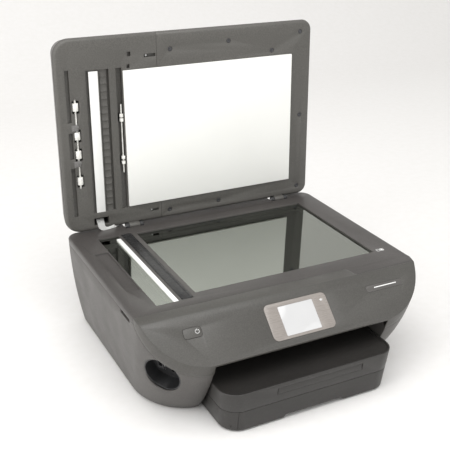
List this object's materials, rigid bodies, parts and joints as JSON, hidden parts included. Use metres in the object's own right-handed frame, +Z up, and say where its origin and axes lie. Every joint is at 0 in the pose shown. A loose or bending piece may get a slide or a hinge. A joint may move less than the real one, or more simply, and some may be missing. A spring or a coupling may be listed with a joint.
{
  "type": "inkjet printer",
  "caption": "All-in-one inkjet printer: flatbed scanner with a hinged lid and document feeder over a cartridge print mechanism, with a front paper tray.",
  "frame": {"origin": "on the floor plane under the middle of the whole printer as it stands with its lid open", "axes": "+X to the user's right, -Y towards the user, +Z up"},
  "size_m": [0.454, 0.441, 0.4672],
  "materials": {
    "case": "fine-grained satin moulding",
    "panel": "fine-grained satin moulding",
    "bed": "fine-grained satin moulding",
    "pan": "plain moulding",
    "reader": "plain moulding",
    "supply": "plain moulding",
    "board": "lacquered laminate with metal-shelled sockets",
    "button": "satin",
    "touch_frame": "satin film",
    "screen": "glossy display window",
    "badge": "satin name plate left blank",
    "tray": "fine-grained moulding",
    "tray_plate": "fine-grained moulding",
    "guide": "plain moulding",
    "roller_rubber": "ground rubber on a steel shaft",
    "gear": "natural acetal",
    "steel": "ground",
    "sheet_steel": "zinc-plated sheet",
    "carriage": "plain moulding",
    "cartridge": "plain moulding",
    "belt": "toothed timing belt",
    "motor": "drawn steel cans",
    "film": "clear printed film",
    "platen": "plain moulding",
    "feet": "soft rubber",
    "glass": "float glass",
    "divider": "polished moulding",
    "white_strip": "white film",
    "sensor": "plain moulding",
    "lid": "fine-grained satin moulding",
    "liner": "fine-grained moulding",
    "pad": "white film on foam",
    "white_rubber": "pale feed rubber on a shaft",
    "screw": "blackened steel"
  },
  "bodies": {
    "base": {"lower_case": "case", "card_reader": "reader", "power_supply": "supply", "main_board": "board", "control_panel": "panel", "touch_bezel": "touch_frame", "touch_screen": "screen", "panel_badge": "badge", "mechanism_frame": "sheet_steel", "carriage_rod": "steel", "carriage_belt": "belt", "drive_motors": "motor", "encoder_strip": "film", "platen": "platen", "service_station": "platen", "paper_chute": "platen", "pick_bracket": "steel", "rubber_feet": "feet"},
    "scanner_unit": {"scanner_bezel": "bed", "scanner_pan": "pan", "flatbed_glass": "glass", "feeder_glass": "glass", "feeder_divider": "divider", "calibration_strip": "white_strip", "scan_rail": "steel", "lid_hinge_pins": "steel"},
    "lid": {"lid_shell": "lid", "lid_liner": "liner", "feeder_frame": "liner", "lid_screws": "screw", "document_pad": "pad", "backing_strip": "white_strip"},
    "carriage": {"print_carriage": "carriage", "colour_cartridge": "cartridge", "black_cartridge": "cartridge"},
    "paper_tray": {"main_tray": "tray", "tray_front": "tray_plate", "output_tray": "tray"},
    "power_key": {"power_button": "button"},
    "scan_sensor": {"scan_bar": "sensor"},
    "feeder_cover": {"feed_cover": "lid"},
    "front_guide": {"front_document_guide": "guide"},
    "rear_guide": {"rear_document_guide": "guide"},
    "feed_shaft": {"feeder_rollers": "white_rubber"},
    "feed_exit_shaft": {"feeder_exit_rollers": "white_rubber"},
    "motor_wheel": {"motor_pulley": "gear"},
    "idler_wheel": {"idler_pulley": "gear"},
    "line_roller": {"feed_roller": "roller_rubber"},
    "output_roller": {"exit_roller": "roller_rubber"},
    "idler": {"idler_gear": "gear"},
    "pinion": {"feed_pinion": "gear"},
    "turn_drum": {"turn_roller": "roller_rubber"},
    "pick_lever": {"pick_arm": "guide"},
    "pick_wheel": {"pick_roller": "roller_rubber"},
    "extender": {"output_extender": "tray_plate"},
    "left_guide": {"left_paper_guide": "guide"},
    "right_guide": {"right_paper_guide": "guide"},
    "length_guide": {"paper_length_guide": "guide"}
  },
  "joints": [
    {"name": "scanner_lift", "type": "hinge", "parent": "base", "child": "scanner_unit", "pos_m": [0, 0.174, 0.146], "axis": [-1, 0, 0], "range_deg": [0, 30]},
    {"name": "lid_hinge", "type": "hinge", "parent": "scanner_unit", "child": "lid", "pos_m": [0, 0.171, 0.1556], "axis": [1, 0, 0], "range_deg": [0, 92]},
    {"name": "feed_cover_hinge", "type": "hinge", "parent": "lid", "child": "feeder_cover", "pos_m": [-0.207, 0.20961, 0.31285], "axis": [0, 0.0349, 0.9994], "range_deg": [0, 75]},
    {"name": "front_guide_slide", "type": "slide", "parent": "lid", "child": "front_guide", "axis": [0, -0.0349, -0.9994], "range_m": [0, 0.055]},
    {"name": "rear_guide_slide", "type": "slide", "parent": "lid", "child": "rear_guide", "axis": [0, 0.0349, 0.9994], "range_m": [0, 0.055]},
    {"name": "feed_shaft_spin", "type": "hinge", "parent": "lid", "child": "feed_shaft", "pos_m": [-0.198, 0.18038, 0.30386], "axis": [0, -0.0349, -0.9994], "continuous": true},
    {"name": "feed_exit_spin", "type": "hinge", "parent": "lid", "child": "feed_exit_shaft", "pos_m": [-0.124, 0.18068, 0.30385], "axis": [0, -0.0349, -0.9994], "continuous": true},
    {"name": "scan_travel", "type": "slide", "parent": "scanner_unit", "child": "scan_sensor", "axis": [1, 0, 0], "range_m": [0, 0.352]},
    {"name": "power_press", "type": "slide", "parent": "base", "child": "power_key", "axis": [0, 0.682, -0.7314], "range_m": [0, 0.001], "stiffness_N_per_m": 600, "springref_m": -0.0005},
    {"name": "carriage_travel", "type": "slide", "parent": "base", "child": "carriage", "axis": [-1, 0, 0], "range_m": [0, 0.276]},
    {"name": "motor_pulley_spin", "type": "hinge", "parent": "base", "child": "motor_wheel", "pos_m": [0.188, 0.0755, 0.108], "axis": [0, 1, 0], "continuous": true},
    {"name": "idler_pulley_spin", "type": "hinge", "parent": "base", "child": "idler_wheel", "pos_m": [-0.188, 0.0755, 0.108], "axis": [0, 1, 0], "continuous": true},
    {"name": "line_feed_spin", "type": "hinge", "parent": "base", "child": "line_roller", "pos_m": [0, 0.066, 0.062], "axis": [1, 0, 0], "continuous": true},
    {"name": "idler_gear_spin", "type": "hinge", "parent": "base", "child": "idler", "pos_m": [-0.188, 0.024, 0.062], "axis": [1, 0, 0], "continuous": true},
    {"name": "output_roller_spin", "type": "hinge", "parent": "base", "child": "output_roller", "pos_m": [0, -0.014, 0.062], "axis": [1, 0, 0], "continuous": true},
    {"name": "feed_pinion_spin", "type": "hinge", "parent": "base", "child": "pinion", "pos_m": [-0.188, 0.081, 0.03602], "axis": [1, 0, 0], "continuous": true},
    {"name": "turn_drum_spin", "type": "hinge", "parent": "base", "child": "turn_drum", "pos_m": [0, 0.116, 0.04], "axis": [1, 0, 0], "continuous": true},
    {"name": "pick_swing", "type": "hinge", "parent": "base", "child": "pick_lever", "pos_m": [0, 0.052, 0.047], "axis": [1, 0, 0], "range_deg": [0, 16]},
    {"name": "pick_spin", "type": "hinge", "parent": "pick_lever", "child": "pick_wheel", "pos_m": [0, 0.022, 0.025], "axis": [1, 0, 0], "continuous": true},
    {"name": "tray_slide", "type": "slide", "parent": "base", "child": "paper_tray", "axis": [0, -1, 0], "range_m": [0, 0.16]},
    {"name": "extender_slide", "type": "slide", "parent": "paper_tray", "child": "extender", "axis": [0, -1, 0], "range_m": [0, 0.1]},
    {"name": "left_guide_slide", "type": "slide", "parent": "paper_tray", "child": "left_guide", "axis": [1, 0, 0], "range_m": [0, 0.06]},
    {"name": "right_guide_slide", "type": "slide", "parent": "paper_tray", "child": "right_guide", "axis": [-1, 0, 0], "range_m": [0, 0.06]},
    {"name": "length_guide_slide", "type": "slide", "parent": "paper_tray", "child": "length_guide", "axis": [0, 1, 0], "range_m": [0, 0.1]}
  ],
  "couplings": [
    {"joint": "rear_guide_slide", "follows": "front_guide_slide", "ratio": 1},
    {"joint": "feed_exit_spin", "follows": "feed_shaft_spin", "ratio": 1.5},
    {"joint": "motor_pulley_spin", "follows": "carriage_travel", "rad_per_m": 166.67},
    {"joint": "idler_pulley_spin", "follows": "carriage_travel", "rad_per_m": 166.67},
    {"joint": "idler_gear_spin", "follows": "line_feed_spin", "ratio": -1.3333},
    {"joint": "output_roller_spin", "follows": "line_feed_spin", "ratio": 1.2},
    {"joint": "feed_pinion_spin", "follows": "line_feed_spin", "ratio": -4},
    {"joint": "turn_drum_spin", "follows": "line_feed_spin", "ratio": 0.24},
    {"joint": "right_guide_slide", "follows": "left_guide_slide", "ratio": 1}
  ]
}
